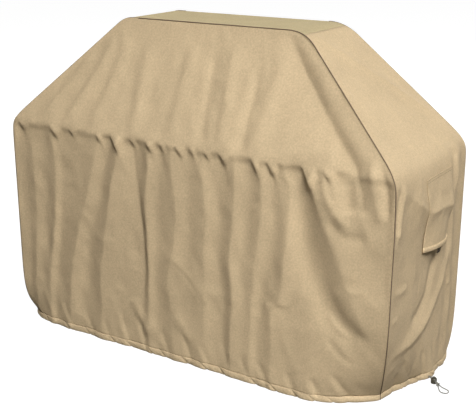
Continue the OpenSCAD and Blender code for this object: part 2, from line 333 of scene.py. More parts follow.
def frames_along(path, up):
    """Unit vectors across a path: sideways, and as near to up as they go."""
    ahead = unit(np.gradient(path, axis=0))
    side = unit(np.cross(ahead, np.broadcast_to(up, ahead.shape)))
    return side, np.cross(side, ahead)


def tube_quads(rings, sides, closed=False):
    """Quads between the rings of a tube."""
    return [(r * sides + k, r * sides + (k + 1) % sides,
             (r + 1) % rings * sides + (k + 1) % sides, (r + 1) % rings * sides + k)
            for r in range(rings if closed else rings - 1) for k in range(sides)]


def tube_ends(rings, sides):
    return [tuple(range(sides - 1, -1, -1)), tuple((rings - 1) * sides + k for k in range(sides))]


def run_along(line):
    """Distance from a line's start to each of its points."""
    return np.concatenate([[0], np.cumsum(np.linalg.norm(np.diff(line, axis=0), axis=1))])


def sweep(name, path, outline, material, body, up=(0, 0, 1), closed=False):
    """A tube along a path. outline is the section as (sideways, up) points, anticlockwise."""
    path = np.asarray(path, float)
    outline = np.asarray(outline, float)
    side, high = frames_along(path, np.array(up, float))
    rings = path[:, None] + side[:, None] * outline[None, :, :1] + high[:, None] * outline[None, :, 1:2]
    shape = (len(path), len(outline))
    faces = tube_quads(*shape, closed) + ([] if closed else tube_ends(*shape))
    uv = np.stack(np.broadcast_arrays(run_along(path)[:, None], run_along(outline)[None, :]), axis=-1)
    return piece(name, rings, faces, material, body, uv)


def circle(radius, sides):
    angles = np.arange(sides) * 2 * math.pi / sides
    return np.stack([radius * np.cos(angles), radius * np.sin(angles)], axis=1)


# -------- the cloth's plain shape
def hem_between(side):
    """The gathered hem of one side, from seam to seam."""
    steps = 8
    smooth = spline(HEM_LINE, steps, closed=True)
    smooth = np.vstack([smooth, smooth[:1]])
    return smooth[SEAMS[side] * steps:SEAMS[side + 1] * steps + 1]


def along(line, share):
    """Points at shares of a line's length."""
    run = run_along(line)
    return np.stack([np.interp(share, run / run[-1], line[:, k]) for k in range(line.shape[1])], axis=-1)


def eased(z, radius):
    """Height above the shoulders, eased in over a radius."""
    return radius * np.logaddexp(0.0, (np.asarray(z) - SHOULDER_Z) / radius)


# Radii of the bend at the shoulders: the sides and the back, and the front
SHOULDER_R = 0.015
FRONT_SHOULDER_R = 0.006
# How far the rounding of the crown's corners reaches along their sides
CROWN_REACH = 0.062
LEFT_CROWN_REACH = 0.034
CROWN_STEPS = 12
side_slope = (HALF_W - TOP_HALF_W) / ROOF_H
slope_length = math.hypot(HALF_W - TOP_HALF_W, ROOF_H)


def crown_arc(reach, share):
    """The rounded corner between a slope and the top, as half widths and heights."""
    low_x = TOP_HALF_W + reach * (HALF_W - TOP_HALF_W) / slope_length
    low_z = CROWN_Z - reach * ROOF_H / slope_length
    x = (1 - share)**2 * low_x + 2 * share * (1 - share) * TOP_HALF_W + share**2 * (TOP_HALF_W - reach)
    return x, (1 - share)**2 * low_z + (1 - (1 - share)**2) * CROWN_Z


def half_width(z, reach):
    x, rise = crown_arc(reach, np.linspace(0, 1, 61))
    return np.where(z < rise[0], HALF_W - side_slope * eased(z, SHOULDER_R), np.interp(z, rise, x))


# Heights of the grids' rows, with rows at the edges of the vents' windows and at the shoulders
crown_z = crown_arc(CROWN_REACH, np.linspace(0, 1, CROWN_STEPS + 1))[1]
wall_z = np.concatenate([
    np.linspace(HEM_TOP, WINDOW_LOW, 73)[:-1], np.linspace(WINDOW_LOW, WINDOW_HIGH, 21)[:-1],
    np.linspace(WINDOW_HIGH, SHOULDER_Z, 19)[:-1], np.linspace(SHOULDER_Z, crown_z[0], 50),
])
row_z = np.concatenate([wall_z, crown_z[1:]])
right_x = half_width(row_z, CROWN_REACH)
left_x = -half_width(row_z, LEFT_CROWN_REACH)
front_y = -HALF_D + (HALF_D + TOP_FRONT) / ROOF_H * eased(row_z, FRONT_SHOULDER_R)
back_y = HALF_D - (HALF_D - TOP_BACK) / ROOF_H * eased(row_z, SHOULDER_R)
# The row of the lap seams, where the top panel meets the side panels
LAP_ROW = len(wall_z) - 1 + CROWN_STEPS // 2
# How sharply the walls turn in to the hem, at the front left, front right, back right and back left seams
PULL_POWER = [7.0, 2.0, 6.5, 4.0]


def plain_side(side):
    """Rows of points of one side without its folds."""
    share = np.arange(COLUMNS[SIDES[side]] + 1) / COLUMNS[SIDES[side]]
    hem = along(hem_between(side), share)
    corners = [np.stack([left_x, front_y], 1), np.stack([right_x, front_y], 1),
               np.stack([right_x, back_y], 1), np.stack([left_x, back_y], 1)]
    a, b = corners[side], corners[(side + 1) % 4]
    eave = a[:, None] * (1 - share[None, :, None]) + b[:, None] * share[None, :, None]
    power = PULL_POWER[side] * (1 - share) + PULL_POWER[(side + 1) % 4] * share
    pull = (np.clip(GATHER_Z - row_z, 0, None) / (GATHER_Z - HEM_TOP))[:, None] ** power[None, :]
    flat = eave * (1 - pull[..., None]) + hem[None] * pull[..., None]
    return np.concatenate([flat, np.broadcast_to(row_z[:, None, None], flat.shape[:2] + (1,))], axis=2)


def outward(points):
    """The outward direction at each point of a grid."""
    across = np.gradient(points, axis=1)
    up = np.gradient(points, axis=0)
    return unit(np.cross(across, up))


# -------- folds
# Hanging folds: the lines of their ridges and valleys from left to right. Each line has its places along the
# side at the four LEVELS, and how far it stands out there in mm. A valley is negative.
LEVELS = [0.8, 0.55, 0.3, 0.05]
FOLD_DEPTH = 0.9
FRONT_LINES = [
    ((-0.75, -0.75, -0.755, -0.762), (-2, -3, -3, -2)),
    ((-0.7, -0.705, -0.72, -0.735), (2, 3, 3, 1)),
    ((-0.645, -0.65, -0.685, -0.7), (-2, -3, -2, -1)),
    ((-0.59, -0.595, -0.635, -0.655), (3, 5, 5, 2)),
    ((-0.545, -0.555, -0.6, -0.625), (-3, -4, -5, -4)),
    ((-0.375, -0.435, -0.52, -0.555), (5, 6, 6, 4)),
    ((-0.33, -0.38, -0.45, -0.48), (-5, -6, -7, -5)),
    ((-0.285, -0.325, -0.38, -0.4), (7, 8, 7, 4)),
    ((-0.215, -0.19, -0.185, -0.21), (-7, -11, -10, -4)),
    ((-0.15, -0.155, -0.155, -0.165), (3, 3, 2, 2)),
    ((-0.1, -0.11, -0.12, -0.12), (-4, -5, -4, -3)),
    ((-0.045, -0.03, -0.06, -0.05), (5, 6, 3, 3)),
    ((0.025, 0.03, 0.01, 0.01), (-2, -2, -3, -3)),
    ((0.085, 0.1, 0.095, 0.08), (3, 3, 3, 3)),
    ((0.14, 0.152, 0.16, 0.165), (-5, -7, -7, -5)),
    ((0.215, 0.215, 0.205, 0.2), (5, 7, 6, 3)),
    ((0.275, 0.265, 0.255, 0.25), (-3, -3, -1, -1)),
    ((0.32, 0.32, 0.285, 0.28), (3, 4, 2, 1)),
    ((0.355, 0.375, 0.32, 0.308), (-6, -6, -5, -5)),
    ((0.4, 0.425, 0.375, 0.365), (6, 8, 5, 3)),
    ((0.47, 0.5, 0.45, 0.43), (0, 0, -2, -2)),
    ((0.64, 0.64, 0.56, 0.54), (0, 0, 2, 2)),
]
RIGHT_LINES = [
    ((-0.2, -0.2, -0.19, -0.1), (-2, -2, -2, -2)),
    ((-0.13, -0.12, -0.11, -0.04), (2, 3, 2, 3)),
    ((-0.06, -0.04, -0.03, 0.02), (0, -2, -3, -3)),
    ((0.12, 0.12, 0.15, 0.11), (0, 1, 0, 3)),
    ((0.165, 0.16, 0.195, 0.17), (-3, -4, -3, -3)),
    ((0.205, 0.2, 0.235, 0.215), (4, 6, 4, 3)),
    ((0.245, 0.245, 0.262, 0.25), (-3, -4, -3, -2)),
]
# Single folds: a line on a side, as (distance along the side from the cover's middle, height), with how far
# it stands out in mm, its half width in mm to the left and right of the line's heading, and its sharpness:
# 2 is soft, 1 is a crease.
FRONT_FOLDS = [
    ([(-0.22, 0.8), (-0.205, 0.68), (-0.19, 0.57), (-0.17, 0.38), (-0.165, 0.27)], -3, 8, 13, 1.2),
    ([(-0.07, 0.42), (-0.01, 0.37), (0.05, 0.31), (0.09, 0.25)], 3, 22, 26, 1.8),
    ([(-0.05, 0.395), (0.01, 0.345), (0.07, 0.28), (0.09, 0.24)], -2.2, 7, 5, 1.2),
    ([(-0.24, 0.21), (-0.2, 0.14), (-0.16, 0.07)], 5, 26, 20, 2),
    ([(-0.04, 0.19), (0.00, 0.14), (0.03, 0.09)], 4, 22, 20, 2),
    ([(0.435, 0.86), (0.445, 0.8), (0.46, 0.72), (0.485, 0.59), (0.52, 0.48), (0.58, 0.36), (0.66, 0.29),
      (0.74, 0.262)], -17, 82, 56, 1.9),
    ([(0.5, 0.84), (0.515, 0.76), (0.56, 0.65), (0.62, 0.52), (0.67, 0.39), (0.745, 0.275)],
     11, 60, 44, 1.6),
    ([(0.6, 0.44), (0.66, 0.34), (0.735, 0.295)], 5, 34, 22, 2),
    ([(0.545, 0.83), (0.56, 0.75), (0.595, 0.69), (0.645, 0.645)], 8, 20, 20, 1.5),
    ([(0.57, 0.66), (0.61, 0.625), (0.65, 0.61), (0.71, 0.625)], -5, 18, 26, 1.8),
    ([(0.63, 0.8), (0.64, 0.74), (0.655, 0.69)], -7, 28, 26, 2.0),
    ([(0.645, 0.445), (0.68, 0.435), (0.72, 0.45)], 2.5, 6, 9, 1.4),
    ([(0.57, 0.34), (0.61, 0.295), (0.66, 0.265)], 3, 12, 12, 1.8),
    ([(0.58, 0.25), (0.62, 0.205), (0.67, 0.165)], -2.5, 12, 12, 1.8),
    ([(0.26, 1.2), (0.34, 1.11), (0.44, 1.00), (0.53, 0.9), (0.58, 0.85)], 3, 60, 50, 2),
    ([(0.31, 1.21), (0.395, 1.11), (0.495, 1.00), (0.585, 0.905), (0.645, 0.85), (0.675, 0.8)],
     -17, 26, 115, 1.7),
    ([(0.65, 0.85), (0.68, 0.77), (0.695, 0.69)], -5, 14, 24, 1.6),
    ([(0.705, 0.87), (0.725, 0.77), (0.755, 0.675)], 5, 20, 16, 1.8),
    ([(0.75, 0.85), (0.768, 0.77), (0.78, 0.69)], -4, 11, 12, 1.7),
    ([(-0.24, 1.14), (-0.225, 0.83)], 4, 34, 20, 2),
    ([(-0.05, 1.16), (-0.06, 0.83)], 4, 32, 22, 2),
    ([(0.05, 1.14), (0.075, 0.83)], -5, 26, 20, 2),
    ([(0.12, 1.16), (0.16, 0.83)], 4.5, 30, 22, 2),
    ([(0.24, 1.1), (0.235, 0.83)], -5, 20, 26, 2),
    ([(0.31, 1.14), (0.285, 0.83)], 4.5, 34, 22, 2),
    ([(-0.4, 1.16), (-0.44, 1.02), (-0.545, 0.83)], 6, 40, 22, 1.8),
    ([(-0.34, 1.17), (-0.36, 1.02), (-0.42, 0.83)], 5, 36, 22, 1.8),
    ([(-0.47, 1.09), (-0.58, 0.95), (-0.66, 0.83)], 4, 34, 24, 1.8),
]
RIGHT_FOLDS = [
    ([(-0.11, 1.218), (-0.05, 1.17), (0.01, 1.115), (0.09, 1.045), (0.17, 0.975), (0.24, 0.92)],
     9, 24, 14, 1.4),
    ([(-0.264, 0.8), (-0.275, 0.7), (-0.283, 0.62)], -7, 10, 12, 1.5),
    ([(-0.235, 0.8), (-0.25, 0.7), (-0.26, 0.62)], 4, 12, 10, 2),
    ([(0.2, 0.5), (0.16, 0.4), (0.09, 0.31), (0.00, 0.245), (-0.11, 0.215), (-0.22, 0.2)],
     10, 22, 26, 1.7),
    ([(0.06, 0.5), (0.03, 0.39), (-0.03, 0.31), (-0.12, 0.28)], -8, 24, 24, 2),
    ([(-0.04, 0.5), (-0.06, 0.31), (0.01, 0.16), (0.067, 0.04)], 3, 4, 6, 1.2),
    ([(-0.29, 0.645), (-0.255, 0.64)], 4, 7, 7, 1.6),
    ([(-0.27, 0.45), (-0.22, 0.435), (-0.163, 0.44)], 5, 8, 12, 1.5),
    ([(-0.27, 0.35), (-0.23, 0.34)], 4, 7, 9, 1.6),
    ([(-0.12, 0.14), (-0.05, 0.07), (-0.02, 0.03)], -5, 12, 14, 1.7),
]
# Tongues of the slope's cloth that hang over the front's edge: place, how far down in mm, half width in mm
TONGUES = [
    (-0.755, 16, 26), (-0.59, 26, 26), (-0.505, 12, 14), (-0.375, 18, 12), (-0.3, 34, 26),
    (-0.222, 16, 14), (-0.145, 22, 18), (-0.09, 14, 12), (-0.015, 20, 20), (0.04, 12, 12),
    (0.1, 16, 14), (0.165, 24, 22), (0.29, 26, 14), (0.35, 34, 18), (0.48, 55, 26), (0.56, 26, 20),
]
# Places of the short folds that rise from the drawn hem
FRONT_GATHERS = [
    -0.64, -0.55, -0.44, -0.36, -0.25, -0.17, -0.07, 0.02, 0.11, 0.2, 0.27, 0.35, 0.45, 0.55, 0.63,
]
RIGHT_GATHERS = [-0.1, -0.02, 0.05, 0.13, 0.21]
BACK_GATHERS = np.arange(-0.68, 0.7, 0.11)
LEFT_GATHERS = [-0.18, -0.08, 0.03, 0.14, 0.22]
# The lower edge of the part of the right side that the shelf inside pushes out, as (y, z), and how steeply
# it stands out from there up to the shoulder
TENT_EDGE = np.array([
    (-0.31, 0.82), (-0.19, 0.74), (-0.056, 0.66), (0.04, 0.66), (0.14, 0.64), (0.2, 0.74), (0.26, 0.82),
])
TENT_SLOPE = 0.17
TENT_TOP = 0.9


CREASED = 0.55
CREASE_POWER = 1.7


def hanging_folds(u, z, lines, half):
    """The cloth's swing from each ridge line to the next valley line."""
    curves = []
    for places, heights in [((-half,) * 4, (0,) * 4), *lines, ((half,) * 4, (0,) * 4)]:
        smooth = spline(list(zip(LEVELS, places, heights)), 8)[::-1]
        curves.append([np.interp(z, smooth[:, 0], smooth[:, k]) for k in (1, 2)])
    out = np.zeros_like(u)
    for (left, low), (right, high) in zip(curves, curves[1:]):
        share = (u - left) / np.maximum(right - left, 1e-4)
        inside = (share >= 0) & (share < 1)
        clipped = np.clip(share, 0, 1)
        # The ridge end of each swing is a crease, and the valley end is round
        creased = np.where(high > low, clipped**CREASE_POWER, 1 - (1 - clipped) ** CREASE_POWER)
        swing = (1 - CREASED) * smoothstep(share) + CREASED * creased
        out = np.where(inside, low + (high - low) * swing, out)
    return FOLD_DEPTH * out / 1000 * smoothstep((SHOULDER_Z + 0.012 - z) / 0.035)


# The share of its length over which a fold fades in and out, and how much is left of it at its very ends
FADE = 0.2
FADE_START = 0.15


def fold(u, z, route, height, left, right, sharpness):
    """How far one fold moves each point out."""
    line = spline(route, 6)
    points = np.stack([u, z], axis=-1)
    best = np.full(u.shape, 1e9)
    turn, ends = np.zeros_like(u), np.zeros_like(u)
    for k, (a, b) in enumerate(zip(line, line[1:])):
        step = b - a
        share = np.clip(((points - a) @ step) / (step @ step), 0, 1)
        gap = points - a - share[..., None] * step
        distance = np.linalg.norm(gap, axis=-1)
        nearer = distance < best
        best = np.where(nearer, distance, best)
        turn = np.where(nearer, step[0] * gap[..., 1] - step[1] * gap[..., 0], turn)
        ends = np.where(nearer, (k + share) / (len(line) - 1), ends)
    # The width changes smoothly where a point passes from one side of the line to the other
    side = 0.5 + 0.5 * np.clip(turn / np.maximum(best, 1e-6) / np.linalg.norm(line[1] - line[0]) * 2, -1, 1)
    width = (left * side + right * (1 - side)) / 1000
    fade = smoothstep(ends / FADE + FADE_START) * smoothstep((1 - ends) / FADE + FADE_START)
    return height / 1000 * fade * np.exp(-((best / width) ** sharpness))


def wander(u, v, cell_u, cell_v, seed):
    """Smooth noise from -1 to 1, with cells of the given size."""
    lattice = np.random.default_rng(seed).uniform(-1, 1, (64, 64))
    a, b = u / cell_u + 30.0, v / cell_v + 5.0
    i, j = np.floor(a).astype(int) % 63, np.floor(b).astype(int) % 63
    s, t = smoothstep(a - np.floor(a)), smoothstep(b - np.floor(b))
    low = lattice[i, j] * (1 - s) + lattice[i + 1, j] * s
    high = lattice[i, j + 1] * (1 - s) + lattice[i + 1, j + 1] * s
    return low * (1 - t) + high * t


# Tongues lean to the right by this share of their length, and are this much steeper at their left
TONGUE_LEAN = 0.4
TONGUE_SKEW = 1.4
# How far a tongue stands out for its length, how far the cloth is tucked in under it, and over what height
TONGUE_OUT = 0.28
TUCK = 0.0052
TUCK_H = 0.03


def tongues(u, z, places):
    """The slope's cloth runs on past the shoulder in pointed tongues, and tucks in under them."""
    below = SHOULDER_Z - z
    drop = np.zeros_like(u)
    for place, down, half in places:
        away = (u - place - TONGUE_LEAN * below) * 1000 / half
        reach = np.where(away < 0, -TONGUE_SKEW * away, away / TONGUE_SKEW)
        drop = np.maximum(drop, down / 1000 * np.clip(1 - reach, 0, 1) ** 0.8)
    past = np.clip(below - drop, 0, None)
    hang = TONGUE_OUT * np.minimum(np.clip(below, 0, None), drop) * np.exp(-past / 0.05)
    tuck = TUCK * smoothstep(past / TUCK_H) * np.exp(-np.clip(past - TUCK_H, 0, None) / 0.1)
    return hang - tuck


def hem_gathers(u, z, places, seed):
    """Short slanting folds that rise from the drawn hem, each a crease with a low ridge at its left."""
    rng = np.random.default_rng(seed)
    out = np.zeros_like(u)
    for place in places:
        place = place + rng.uniform(-0.015, 0.015)
        slant, length, deep = rng.uniform(0.02, 0.05), rng.uniform(0.05, 0.14), rng.uniform(1.5, 4.5)
        route = [(place + 0.006, -0.02), (place, 0.03), (place - slant * 0.5, 0.03 + length * 0.45),
                 (place - slant, 0.03 + length)]
        out += fold(u, z, route, -deep, 9, 14, 1.6)
        out += fold(u, z, [(a - 0.022, b) for a, b in route], deep * 0.4, 14, 14, 2)
    return out


def chance_lines(half, seed, count):
    """Ridge and valley lines at chance places, for the back and the left side."""
    rng = np.random.default_rng(seed)
    lines = []
    for k in range(count):
        place = -half + (k + 1 + rng.uniform(-0.22, 0.22)) * 2 * half / (count + 1)
        drift = rng.uniform(-0.02, 0.02) + 0.3 * half / count * math.sin(k)
        height = (1 if k % 2 else -1) * rng.uniform(2.5, 7.0)
        places = tuple(place + drift * t for t in (0.0, 0.4, 0.8, 1.0))
        lines.append((places, tuple(height * t for t in (0.7, 1.0, 0.9, 0.6))))
    return lines


def chance_tongues(half, seed, count):
    """Tongues at chance places, for the back."""
    rng = np.random.default_rng(seed)
    return [(-half + (k + rng.uniform(0.3, 0.7)) * 2 * half / count, rng.uniform(10, 30), rng.uniform(12, 24))
            for k in range(count)]


def wrinkles(side, u, z):
    """Slow waves, and the sharp creases of folding and wear."""
    waves = 0.0018 * wander(u, z, 0.11, 0.16, 10 + side) + 0.0007 * wander(u, z, 0.035, 0.05, 20 + side)
    creases = 0.0022 * abs(wander(u + 0.35 * z, z - 0.2 * u, 0.075, 0.11, 30 + side))
    fine_creases = 0.0011 * abs(wander(u - 0.5 * z, z + 0.3 * u, 0.035, 0.055, 90 + side))
    return waves - creases - fine_creases


def tent(y, z):
    """The shelf inside pushes the right side out, from the shoulder down to the tent's edge."""
    low = np.interp(y, TENT_EDGE[:, 0], TENT_EDGE[:, 1])
    peak = TENT_SLOPE * np.clip(SHOULDER_Z - low, 0, None)
    over = np.clip((z - low) / (TENT_TOP - low), 0, 1)
    return peak * np.where(z > low, (1 - over)**1.4, np.exp((z - low) / 0.06))


def displacement(side, points):
    """How far each point of a side stands out from its plain place."""
    name = SIDES[side]
    u = points[..., 0] if name in ("front", "back") else points[..., 1]
    z = points[..., 2]
    out = wrinkles(side, u, z)
    folds = []
    if name == "front":
        swaying = u + 0.012 * wander(u, z, 0.22, 0.15, 70)
        out += hanging_folds(swaying, z, FRONT_LINES, HALF_W) + tongues(u, z, TONGUES)
        folds, gathers = FRONT_FOLDS, FRONT_GATHERS
    elif name == "right":
        out += tent(u, z)
        out += hanging_folds(u, z, RIGHT_LINES, HALF_D)
        folds, gathers = RIGHT_FOLDS, RIGHT_GATHERS
    elif name == "back":
        out += hanging_folds(u, z, chance_lines(HALF_W, 6, 25), HALF_W)
        out += tongues(u, z, chance_tongues(0.74, 7, 14))
        gathers = BACK_GATHERS
    else:
        out += hanging_folds(-u, z, chance_lines(HALF_D, 9, 9), HALF_D)
        gathers = LEFT_GATHERS
    for route, height, left, right, sharpness in folds:
        out += fold(u, z, route, height, left, right, sharpness)
    return out + hem_gathers(u, z, gathers, 40 + side)


# The bulge of the front right seam below the shoulder: how far out, its height, and its reach up and round
BULGE = 0.006
BULGE_Z = 0.64
BULGE_UP = 0.13
BULGE_ROUND = 0.09
# The folds die out towards the seams over this distance, and towards the top edge over the same height
SEAM_TAPER = 0.03


def seam_bulge(side, share, z):
    """How far the cloth on both sides of the front right seam stands out with it."""
    to_seam = {"front": 1 - share, "right": share}.get(SIDES[side])
    if to_seam is None:
        return np.zeros((len(z), len(share)))
    length = 2 * HALF_W if SIDES[side] == "front" else 2 * HALF_D
    near = np.exp(-((to_seam * length / BULGE_ROUND) ** 2))[None, :]
    return near * BULGE * np.exp(-(((z - BULGE_Z) / BULGE_UP) ** 2))[:, None]


def folded_side(side):
    """Rows of points of one side with its folds."""
    points = plain_side(side)
    columns = points.shape[1] - 1
    share = np.arange(columns + 1) / columns
    length = 2 * (HALF_W if SIDES[side] in ("front", "back") else HALF_D)
    to_seam = np.minimum(share, 1 - share) * length
    to_top = CROWN_Z - row_z
    taper = smoothstep(to_seam / SEAM_TAPER)[None, :] * smoothstep(to_top / SEAM_TAPER + 0.02)[:, None]
    out = displacement(side, points) * taper
    moved = points + outward(points) * out[..., None]
    corners = unit(np.array([(-1, -1, 0), (1, -1, 0), (1, 1, 0), (-1, 1, 0)], float))
    corner = corners[(side + (share > 0.5)) % 4]
    moved += seam_bulge(side, share, row_z)[..., None] * corner[None]
    # The foot of the cloth is sewn into the casing
    moved[0, :, 2] = CLOTH_FOOT
    return moved


grids = [folded_side(k) for k in range(4)]
for k in range(4):
    # Both sides of a seam share its points
    seam = (grids[k][:, -1] + grids[(k + 1) % 4][:, 0]) / 2
    grids[k][:, -1] = seam
    grids[(k + 1) % 4][:, 0] = seam

# The flat top, between the four top rows, with a slight sag
TOP_SAG = 0.004
TOP_WAVES = 0.0022
top_x = grids[0][-1, :, 0]
top_y = grids[1][-1, :, 1]
top_grid = np.stack(np.broadcast_arrays(top_x[None, :], top_y[:, None], CROWN_Z), axis=-1).copy()
swell_x, swell_y = [np.sin(np.pi * np.linspace(0, 1, len(line))) for line in (top_x, top_y)]
waves = TOP_WAVES * wander(top_grid[..., 0], top_grid[..., 1], 0.07, 0.09, 41)
top_grid[..., 2] += swell_x[None, :] * swell_y[:, None] * (waves - TOP_SAG)
top_grid[0] = grids[0][-1]
top_grid[-1] = grids[2][-1, ::-1]
top_grid[:, -1] = grids[1][-1]
top_grid[:, 0] = grids[3][-1, ::-1]


# -------- panels
def from_grid(name, grid, material, body="cover", keep=None):
    return piece(name, grid, grid_faces(*grid.shape[:2], keep=keep), material, body, grid_uv(grid))


def side_cloth(name, grid):
    """A side panel up to the lap seam of the top, with the vent's window cut out."""
    grid = grid[:LAP_ROW + 1]
    middle = (grid[:-1, :-1] + grid[1:, 1:]) / 2
    window = ((abs(middle[..., 1] - VENT_Y) < WINDOW_HALF) & (middle[..., 2] > WINDOW_LOW)
              & (middle[..., 2] < WINDOW_HIGH))
    return from_grid(name, grid, cloth, keep=~window)


front_panel = from_grid("front_cloth", grids[0], cloth)
back_panel = from_grid("back_cloth", grids[2], cloth)
right_panel = side_cloth("right_side_cloth", grids[1])
left_panel = side_cloth("left_side_cloth", grids[3])
# The top runs on over both corners, to its lap seams
top_rows = np.concatenate([grids[3][LAP_ROW:-1, ::-1].transpose(1, 0, 2), top_grid,
                           grids[1][-2:LAP_ROW - 1:-1].transpose(1, 0, 2)], axis=1)
# The top's cloth is painted darker than the other panels, as painted shade.
top_panel = from_grid("top_cloth", top_rows, top_cloth)
for made in (front_panel, back_panel, right_panel, left_panel, top_panel):
    thicken(made, CLOTH_T)
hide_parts("front_panel")
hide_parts("back_panel")
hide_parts("right_side_panel")
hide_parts("left_side_panel")
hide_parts("top_panel")


# -------- hem
HEM_HIGH = 0.0266
# The casing's section, as (distance in from the cloth, height)
HEM_SECTION = [
    (0.0004, HEM_HIGH), (-0.0007, 0.0252), (-0.0014, 0.022), (-0.0018, 0.018), (-0.002, 0.014),
    (-0.002, 0.01), (-0.0018, 0.006), (-0.0011, 0.0025), (0.0004, 0.0006), (0.003, 0.0000),
    (0.007, 0.0006), (0.0098, 0.0045), (0.0108, 0.011), (0.0098, 0.018), (0.006, 0.0235),
    (0.0022, 0.0262),
]
# How far the casing bows out between its creases, how deep they are, their half width, and its fine puckers
HEM_BOW = 0.001
HEM_NOTCH = 0.0026
HEM_NOTCH_W = 0.0045
HEM_PUCKERS = 0.0007


def inward(line, closed=False):
    """Unit vectors on the ground, to the left of a line that runs anticlockwise."""
    ahead = np.roll(line, -1, axis=0) - np.roll(line, 1, axis=0) if closed else np.gradient(line, axis=0)
    ahead = unit(ahead)
    return np.stack([-ahead[:, 1], ahead[:, 0], np.zeros(len(line))], axis=1)


def hem_band(name, side):
    """The folded casing of the drawcord. Slanting creases cross it, and it bows out between them."""
    line = along(grids[side][0], np.linspace(0, 1, 4 * COLUMNS[SIDES[side]] + 1))
    line[:, 2] = 0.0
    run = run_along(line)
    ends = smoothstep(np.minimum(run, run[-1] - run) / 0.02)
    creases = np.cumsum(np.random.default_rng(50 + side).uniform(0.055, 0.135, 30))
    creases = np.concatenate([[0], creases[creases < run[-1] - 0.03], [run[-1] + 0.03]])
    rings = []
    for across, high in HEM_SECTION:
        slanted = run + 1.1 * high
        after = np.clip(np.searchsorted(creases, slanted), 1, len(creases) - 1)
        width = creases[after] - creases[after - 1]
        share = np.clip((slanted - creases[after - 1]) / width, 0, 1)
        notch = np.exp(-((np.minimum(share, 1 - share) * width / HEM_NOTCH_W) ** 2))
        bow = np.sin(np.pi * share) * width / 0.065
        swell = math.sin(math.pi * (0.12 + 0.88 * high / HEM_HIGH))
        fine = wander(slanted, run * 0, 0.013, 1.0, 60 + side)
        out = (HEM_BOW * bow - HEM_NOTCH * notch + HEM_PUCKERS * fine) * ends * swell
        ring = line + inward(line) * (across - out)[:, None]
        ring[:, 2] = high + 0.0022 * notch * ends * (1 - high / HEM_HIGH)
        rings.append(ring)
    rings = np.stack(rings, axis=1)
    girth = np.arange(len(HEM_SECTION)) * 0.005
    uv = np.stack(np.broadcast_arrays(run[:, None], girth[None, :]), axis=-1)
    faces = tube_quads(*rings.shape[:2]) + tube_ends(*rings.shape[:2])
    # The casing's cloth is painted slightly lighter than the panels, as painted light.
    return piece(name, rings, faces, hem_cloth, "cover", uv)


front_hem = hem_band("front_hem_casing", 0)
right_hem = hem_band("right_hem_casing", 1)
back_hem = hem_band("back_hem_casing", 2)
left_hem = hem_band("left_hem_casing", 3)
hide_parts("front_hem")
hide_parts("right_hem")
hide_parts("back_hem")
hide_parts("left_hem")

# -------- piping
PIPING_R = 0.0016
# How far the piping's middle is from the seam: at the front's right and left corners and along its top edge,
# and at the back's left corner and along its top edge, where the seam has rolled over to the back
FRONT_RIGHT_PIPING = (0.0007, -0.0008, 0.0004)
FRONT_LEFT_PIPING = (0.0002, 0.0022, 0.0)
FRONT_TOP_PIPING = (0.0, -0.0008, 0.0006)
BACK_LEFT_PIPING = (0.003, 0.0014, 0.0)
BACK_TOP_PIPING = (0.0, 0.0016, -0.0022)


def piping(name, side, node):
    """The piped seam of the front or back: up one corner, along the top edge and down the other corner."""
    grid = grids[side]
    left, right, top = grid[:, 0], grid[::-1, -1], grid[-1, 1:-1]
    path = np.vstack([left, top, right])
    across_top = abs(path[:, 0]) < TOP_HALF_W - CROWN_REACH
    if SIDES[side] == "front":
        out = np.where(path[:, :1] > 0, FRONT_RIGHT_PIPING, FRONT_LEFT_PIPING)
        out[across_top] = FRONT_TOP_PIPING
    else:
        out = np.where(path[:, :1] > 0, np.array(BACK_LEFT_PIPING) * (-1, 1, 1), BACK_LEFT_PIPING)
        out[across_top] = BACK_TOP_PIPING
    path = path + out
    feet = [path[0] * (1, 1, 0) + (0, 0, 0.003), path[-1] * (1, 1, 0) + (0, 0, 0.003)]
    path = np.vstack([feet[0], path, feet[1]])
    made = sweep(name, path, circle(PIPING_R, 10), piping_cloth, "cover", up=(0, 1, 0))
    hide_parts(node)


piping("front_piping_cord", 0, "front_piping")
piping("back_piping_cord", 2, "back_piping")


# -------- stitching
def stitches(name, rows, body, material=thread, length=0.0034, gap=0.0016, radius=0.00035):
    """Rows of short raised stitches. Each row is a line and the cloth's outward directions along it."""
    points, faces = [], []
    for line, normal in rows:
        run = run_along(line)
        count = int(run[-1] / (length + gap))
        start = (np.arange(count) + 0.15) * (length + gap)
        ends = np.concatenate([start, start + length])
        place = np.stack([np.interp(ends, run, line[:, k]) for k in range(3)], axis=1)
        lift = unit(np.stack([np.interp(ends, run, normal[:, k]) for k in range(3)], axis=1))
        for k in range(count):
            a, b, up = place[k], place[k + count], lift[k]
            across = unit(np.cross(b - a, up)) * radius
            base = len(points)
            low, high = -0.3 * radius * up, 1.6 * radius * up
            middle = (a + b) / 2
            points += [a + low, middle + across, b + low, middle - across, middle + high]
            faces += [(base + i, base + (i + 1) % 4, base + 4) for i in range(4)]
            faces.append((base + 3, base + 2, base + 1, base))
    return piece(name, points, faces, material, body)


def row_above_hem(side, height, out):
    grid = grids[side]
    normal = outward(grid)[0]
    share = (height - CLOTH_FOOT) / (row_z[1] - CLOTH_FOOT)
    return grid[0] * (1 - share) + grid[1] * share + normal * out, normal


def seam_row(side, column):
    normal = outward(grids[side])[:, column]
    return grids[side][:, column] + normal * 0.0004, normal


stitches("hem_stitching", [row_above_hem(k, HEM_TOP + 0.004, 0.0006) for k in range(4)], "cover")
stitches("seam_stitching", [seam_row(k, column) for k in range(4) for column in (1, -2)], "cover")


# -------- vents
# Which way each vent faces along X
FACING = {1: 1.0, 3: -1.0}
HOOD_COLUMNS = 45
HOOD_ROWS = 57
# How much narrower a hood is at its foot, and how far back its foot has swung
HOOD_NARROWING = 0.13
HOOD_SWING = 0.008
